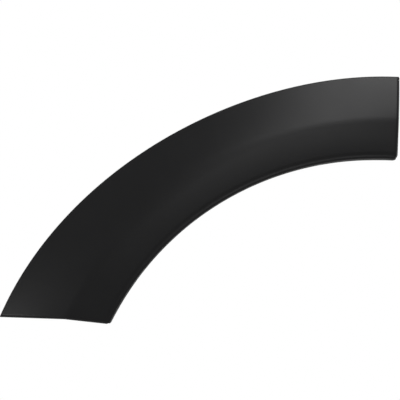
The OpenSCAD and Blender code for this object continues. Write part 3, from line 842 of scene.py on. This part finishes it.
def trim_tree():
    """The moulding: shell, ribs and clip towers in one solid, with the flange's screw bores."""
    tree, z = new_tree("Arch trim", size_names(), [("Material", "NodeSocketMaterial")])
    add_places(z)
    skins = skin_tree()

    def core(foot):
        knobs = {"Set in": z["wall"] / 2, "Skin gap": 0.0, "Filled": 1.0, "Foot height": foot}
        return call_tree(tree, skins, z, knobs)

    knobs = {"Set in": SKIN_IN, "Skin gap": z["wall"], "Filled": 0.0, "Foot height": 0.0}
    shell = call_tree(tree, skins, z, knobs)
    between_clips = z["First clip"] + z["Clip pitch"] / 2

    # Ribs, one half way between each two clips and one along the arch
    half_t = z["rib_t"] / 2
    rib = block(tree, (-half_t, -TALL, z["wall"] / 2), (half_t, TALL, z["wall"] / 2 + z["low_w"]))
    radial = ring_of(tree, z, rib, CLIP_N - 1, between_clips, z["arch_r"])
    crossed = combined(tree, "UNION", [radial, long_rib(tree, z)])
    ribs = combined(tree, "INTERSECT", [crossed, core(z["rib_gap"])])

    # Clip towers
    half_l = z["tower_l"] / 2
    half_w = z["tower_w"] / 2
    room_w = half_w - z["tower_wall"]
    seat_in = z["seat_h"] + z["seat_t"]
    slot_r = z["neck_d"] / 2 + z["neck_clearance"]
    slot_l = seat_in + CUT_PAST

    def at_clips(shape):
        return ring_of(tree, z, shape, CLIP_N, z["First clip"], z["Clip radius"])

    blocks = at_clips(block(tree, (-half_l, -TALL, -half_w), (half_l, -z["seat_h"], half_w)))
    rooms = at_clips(block(
        tree, (-half_l - CUT_PAST, -TALL - CUT_PAST, -room_w),
        (half_l - z["tower_wall"], -seat_in, room_w)))
    slots = at_clips(block(tree, (-z["tower_l"], -slot_l, -slot_r), (0.0, 0.0, slot_r)))
    slot_ends = at_clips(rod(tree, slot_r, slot_l, (0.0, -slot_l / 2, 0.0), math.radians(90)))
    towers = combined(tree, "INTERSECT", [blocks, core(z["panel_gap"])])
    towers = combined(tree, "DIFFERENCE", [towers], [rooms, slots, slot_ends])

    # Screw pads and their bores on the flange
    screw_y = z["flange_reach"] - z["screw_edge"]
    screw_r = z["arch_r"] + z["wall"] / 2 - tangent(z["draft"]) * (z["inner_h"] + screw_y)

    def at_screws(d, length, r):
        shape = rod(tree, d / 2, length)
        return ring_of(tree, z, shape, CLIP_N - 1, between_clips, r, screw_y)

    # The pads thicken the flange behind, and leave its wheel side smooth
    pad_r = screw_r + (z["screw_pad_h"] - z["wall"]) / 2 + PAD_IN
    pads = at_screws(z["screw_pad_d"], z["screw_pad_h"], pad_r)
    bores = at_screws(z["screw_bore_d"], 2 * z["screw_pad_h"], screw_r)
    trim = combined(tree, "UNION", [shell, ribs, towers, pads])
    trim = combined(tree, "DIFFERENCE", [trim], [bores])
    trim = welded(tree, trim, CLEAN_WELD)
    for name in GRID_NAMES:
        trim = made(tree, "GeometryNodeRemoveAttribute", {"Geometry": trim, "Name": name})
    return finish_tree(tree, trim, z["Material"])


def clip_tree():
    """Sets the clip that it is given in each tower."""
    extras = [("Geometry", "NodeSocketGeometry"), ("Material", "NodeSocketMaterial")]
    tree, z = new_tree("Panel clips", size_names(), extras)
    add_places(z)
    clips = ring_of(tree, z, z["Geometry"], CLIP_N, z["First clip"], z["Clip radius"])
    return finish_tree(tree, clips, z["Material"])


# Pieces

def size_values(context):
    sizes = context.scene.arch_trim_sizes
    return {name: getattr(sizes, name) for name in size_names()}


def grown_piece(name, tree, values, seed_mesh=None):
    """Runs a tree on an object, and keeps what it makes as the object's plain mesh."""
    piece = bpy.data.objects.new(name, seed_mesh or bpy.data.meshes.new(name))
    bpy.context.scene.collection.objects.link(piece)
    modifier = piece.modifiers.new(tree.name, "NODES")
    modifier.node_group = tree
    for item in tree.interface.items_tree:
        if item.in_out == "INPUT" and item.name in values:
            modifier[item.identifier] = values[item.name]
    graph = bpy.context.evaluated_depsgraph_get()
    mesh = bpy.data.meshes.new_from_object(piece.evaluated_get(graph))
    piece.modifiers.remove(modifier)
    piece.data = mesh
    if not mesh.polygons:
        raise RuntimeError("%s has no faces" % name)
    mesh.shade_smooth()
    mesh.set_sharp_from_angle(angle=SHARP_ANGLE)
    return piece


def clip_profile(sizes):
    """Radius and height of a clip's outline, from the middle of its head to the stem's tip."""
    seat_in = sizes.seat_h + sizes.seat_t
    stand = sizes.seat_h - sizes.skirt_clearance
    pitch = sizes.stem_l / (sizes.fin_n + 1)
    head, neck, skirt, stem, fin = [
        d / 2 for d in (sizes.head_d, sizes.neck_d, sizes.skirt_d, sizes.stem_d, sizes.fin_d)]
    head_top = -seat_in - sizes.head_t
    outline = [
        (0, head_top), (head - HEAD_CHAMFER, head_top), (head, head_top + HEAD_CHAMFER),
        (head, -seat_in), (neck, -seat_in), (neck, -stand), (skirt, -sizes.skirt_t), (skirt, 0),
        (stem + SKIRT_WEB, -stand + 2 * sizes.skirt_t), (stem, 0)]
    for k in range(sizes.fin_n):
        low = (k + FIN_START) * pitch
        outline += [(stem, low), (fin, low), (stem, (k + FIN_END) * pitch)]
    return outline + [(stem / 2, sizes.stem_l), (0, sizes.stem_l)]


def turned_mesh(name, outline, sides):
    """A closed mesh turned about Y from an outline that starts and ends on the axis."""
    points = []
    faces = []
    rings = []
    for r, height in outline:
        turns = sides if r > 0 else 1
        rings.append(range(len(points), len(points) + turns))
        for k in range(turns):
            angle = 2 * math.pi * k / sides
            points.append((r * math.cos(angle), height, r * math.sin(angle)))
    for low, high in zip(rings, rings[1:]):
        for k in range(sides):
            around = (
                low[k % len(low)], high[k % len(high)],
                high[(k + 1) % sides % len(high)], low[(k + 1) % sides % len(low)])
            faces.append(tuple(dict.fromkeys(around)))
    mesh = bpy.data.meshes.new(name)
    mesh.from_pydata(points, [], faces)
    mesh.validate()
    return mesh


# Finishes

def grain_group():
    """Fine grain of a moulded plastic, as a shader group that several finishes share."""
    group = bpy.data.node_groups.new(GRAIN_NAME, "ShaderNodeTree")
    for label, kind in (
            ("Vector", "NodeSocketVector"), ("Size", "NodeSocketFloat"),
            ("Depth", "NodeSocketFloat"), ("Roughness", "NodeSocketFloat")):
        group.interface.new_socket(label, in_out="INPUT", socket_type=kind)
    for label, kind in (
            ("Normal", "NodeSocketVector"), ("Roughness", "NodeSocketFloat"),
            ("Tone", "NodeSocketFloat")):
        group.interface.new_socket(label, in_out="OUTPUT", socket_type=kind)
    entry = group.nodes.new("NodeGroupInput")
    leave = group.nodes.new("NodeGroupOutput")
    where = entry.outputs["Vector"]
    fine_scale = 1 / Term(group, entry.outputs["Size"])

    def noise(scale, detail):
        node = add_node(
            group, "ShaderNodeTexNoise", {"Vector": where, "Scale": scale, "Detail": detail})
        return Term(group, node.outputs[0])

    pebbles = add_node(group, "ShaderNodeTexVoronoi", {"Vector": where, "Scale": fine_scale})
    pebble_height = Term(group, pebbles.outputs["Distance"])
    height = NOISE_SHARE * noise(fine_scale, 2.0) + (1 - NOISE_SHARE) * pebble_height
    bump = add_node(
        group, "ShaderNodeBump",
        {"Height": height, "Distance": entry.outputs["Depth"], "Strength": 1.0})
    cloud = noise(CLOUD_SCALE, 2.0) - 0.5
    group.links.new(bump.outputs["Normal"], leave.inputs["Normal"])
    roughness = Term(group, entry.outputs["Roughness"]) + cloud * CLOUD_IN_ROUGHNESS
    feed(group, leave.inputs["Roughness"], roughness)
    feed(group, leave.inputs["Tone"], 1 + cloud * CLOUD_IN_TONE)
    return group


def moulded_finish(name, colour, roughness, specular, finishes):
    """A moulded plastic: colour with a faint cloud in it, satin, with the mould's fine grain, and
    duller on a moulding's side walls."""
    material = bpy.data.materials.new(name)
    material.use_nodes = True
    tree = material.node_tree
    shader = tree.nodes["Principled BSDF"]
    where = tree.nodes.new("ShaderNodeTexCoord").outputs["Object"]
    grain = tree.nodes.new("ShaderNodeGroup")
    grain.node_tree = bpy.data.node_groups.get(GRAIN_NAME) or grain_group()
    for label, value in (
            ("Vector", where), ("Size", finishes.grain_size),
            ("Depth", finishes.grain_depth), ("Roughness", roughness)):
        feed(tree, grain.inputs[label], value)
    toned = add_node(
        tree, "ShaderNodeVectorMath", {0: tuple(colour), "Scale": grain.outputs["Tone"]},
        operation="SCALE")
    tree.links.new(toned.outputs[0], shader.inputs["Base Color"])
    mask = add_node(tree, "ShaderNodeAttribute", attribute_name=WALL_NAME)
    walls = Term(tree, mask.outputs["Fac"])
    dull = pick(walls, Term(tree, WALL_ROUGHNESS), Term(tree, grain.outputs["Roughness"]))
    feed(tree, shader.inputs["Roughness"], dull)
    tree.links.new(grain.outputs["Normal"], shader.inputs["Normal"])
    shader.inputs["Specular IOR Level"].default_value = specular
    material.diffuse_color = (*colour, 1)
    return material


def kept(piece, nodes):
    """The piece stands for its nodes and rides with them."""
    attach(piece, "root")
    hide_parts(*nodes)


class ARCHTRIM_OT_moulding(Operator):
    """Builds the grained moulding with its flange, ribs and clip towers"""
    bl_idname = "archtrim.moulding"
    bl_label = "Moulding"

    def execute(self, context):
        finishes = context.scene.arch_trim_finishes
        material = moulded_finish(
            "Grained black", finishes.trim_colour, finishes.trim_roughness, TRIM_SPECULAR, finishes)
        values = {**size_values(context), "Material": material}
        piece = grown_piece("moulded_trim", trim_tree(), values)
        kept(piece, [TRIM_NODE])
        return {"FINISHED"}


class ARCHTRIM_OT_clips(Operator):
    """Builds the push-in clips in their towers"""
    bl_idname = "archtrim.clips"
    bl_label = "Panel clips"

    def execute(self, context):
        finishes = context.scene.arch_trim_finishes
        material = moulded_finish(
            "Clip plastic", finishes.clip_colour, finishes.clip_roughness, CLIP_SPECULAR, finishes)
        sizes = context.scene.arch_trim_sizes
        mesh = turned_mesh("clip", clip_profile(sizes), CLIP_SIDES)
        values = {**size_values(context), "Material": material}
        piece = grown_piece("panel_clips", clip_tree(), values, mesh)
        kept(piece, CLIP_NODES)
        return {"FINISHED"}


def softbox(name, direction, distance, size, power):
    """A square soft lamp that looks back at the part."""
    towards = Vector(direction).normalized()
    lamp = bpy.data.lights.new(name, "AREA")
    lamp.shape = "SQUARE"
    lamp.size = size
    lamp.energy = power
    thing = bpy.data.objects.new(name, lamp)
    thing.location = Vector(PART_MIDDLE) + towards * distance
    thing.rotation_euler = towards.to_track_quat("Z", "Y").to_euler()
    thing.visible_camera = False
    bpy.context.scene.collection.objects.link(thing)


def seen_rays(tree):
    """1 for the rays that show the surroundings, straight, in a mirror or through glass."""
    path = tree.nodes.new("ShaderNodeLightPath")
    seen = Term(tree, path.outputs["Is Camera Ray"])
    return seen.either(path.outputs["Is Glossy Ray"]).either(path.outputs["Is Transmission Ray"])


def studio_world():
    """A white background for what the camera sees, and a plain soft level for the light."""
    world = bpy.data.worlds.new("Studio")
    world.use_nodes = True
    tree = world.node_tree
    background = tree.nodes["Background"]
    background.inputs["Color"].default_value = (1, 1, 1, 1)
    level = pick(seen_rays(tree), Term(tree, 1.0), Term(tree, WORLD_LIGHT))
    feed(tree, background.inputs["Strength"], level)
    bpy.context.scene.world = world


class ARCHTRIM_OT_stage(Operator):
    """Sets up the floor, the soft studio light and the camera"""
    bl_idname = "archtrim.stage"
    bl_label = "Stage"

    def execute(self, context):
        scene = context.scene
        mesh = bpy.data.meshes.new("floor")
        half = FLOOR_SIZE / 2
        corners = [(-half, -half), (half, -half), (half, half), (-half, half)]
        mesh.from_pydata([(x, y, FLOOR_Z) for x, y in corners], [], [(0, 1, 2, 3)])
        floor = bpy.data.objects.new("floor", mesh)
        scene.collection.objects.link(floor)
        paint = bpy.data.materials.new("Pale floor")
        paint.use_nodes = True
        tree = paint.node_tree
        shader = tree.nodes["Principled BSDF"]
        shader.inputs["Base Color"].default_value = FLOOR_COLOUR
        shader.inputs["Roughness"].default_value = FLOOR_ROUGHNESS
        shader.inputs["Emission Color"].default_value = FLOOR_COLOUR
        feed(tree, shader.inputs["Emission Strength"], seen_rays(tree) * FLOOR_GLOW)
        mesh.materials.append(paint)
        studio_world()
        for lamp in LAMPS:
            softbox(*lamp)
        lens = bpy.data.cameras.new("camera")
        lens.lens = CAMERA_LENS
        lens.sensor_width = CAMERA_SENSOR
        lens.clip_end = CAMERA_SIGHT
        camera = bpy.data.objects.new("camera", lens)
        camera.location = CAMERA_PLACE
        camera.rotation_euler = (math.radians(90), 0, 0)
        scene.collection.objects.link(camera)
        scene.camera = camera
        scene.view_settings.view_transform = "Standard"
        return {"FINISHED"}


class ARCHTRIM_PT_panel(Panel):
    """Sizes, finishes and buttons of the wheel arch trim"""
    bl_idname = "ARCHTRIM_PT_panel"
    bl_label = "Wheel arch trim"
    bl_space_type = "VIEW_3D"
    bl_region_type = "UI"
    bl_category = "Arch Trim"

    def draw(self, context):
        for group in (context.scene.arch_trim_sizes, context.scene.arch_trim_finishes):
            column = self.layout.column(align=True)
            for name in group.__annotations__:
                column.prop(group, name)
        for step in STEPS:
            self.layout.operator(step.bl_idname)


STEPS = (ARCHTRIM_OT_moulding, ARCHTRIM_OT_clips, ARCHTRIM_OT_stage)
CLASSES = (ArchTrimSizes, ArchTrimFinishes, *STEPS, ARCHTRIM_PT_panel)


def register():
    for kind in CLASSES:
        bpy.utils.register_class(kind)
    bpy.types.Scene.arch_trim_sizes = PointerProperty(type=ArchTrimSizes)
    bpy.types.Scene.arch_trim_finishes = PointerProperty(type=ArchTrimFinishes)


def unregister():
    del bpy.types.Scene.arch_trim_finishes
    del bpy.types.Scene.arch_trim_sizes
    for kind in reversed(CLASSES):
        bpy.utils.unregister_class(kind)


def main():
    register()
    bpy.ops.archtrim.stage()
    bpy.ops.archtrim.moulding()
    bpy.ops.archtrim.clips()


if __name__ == "__main__":
    main()
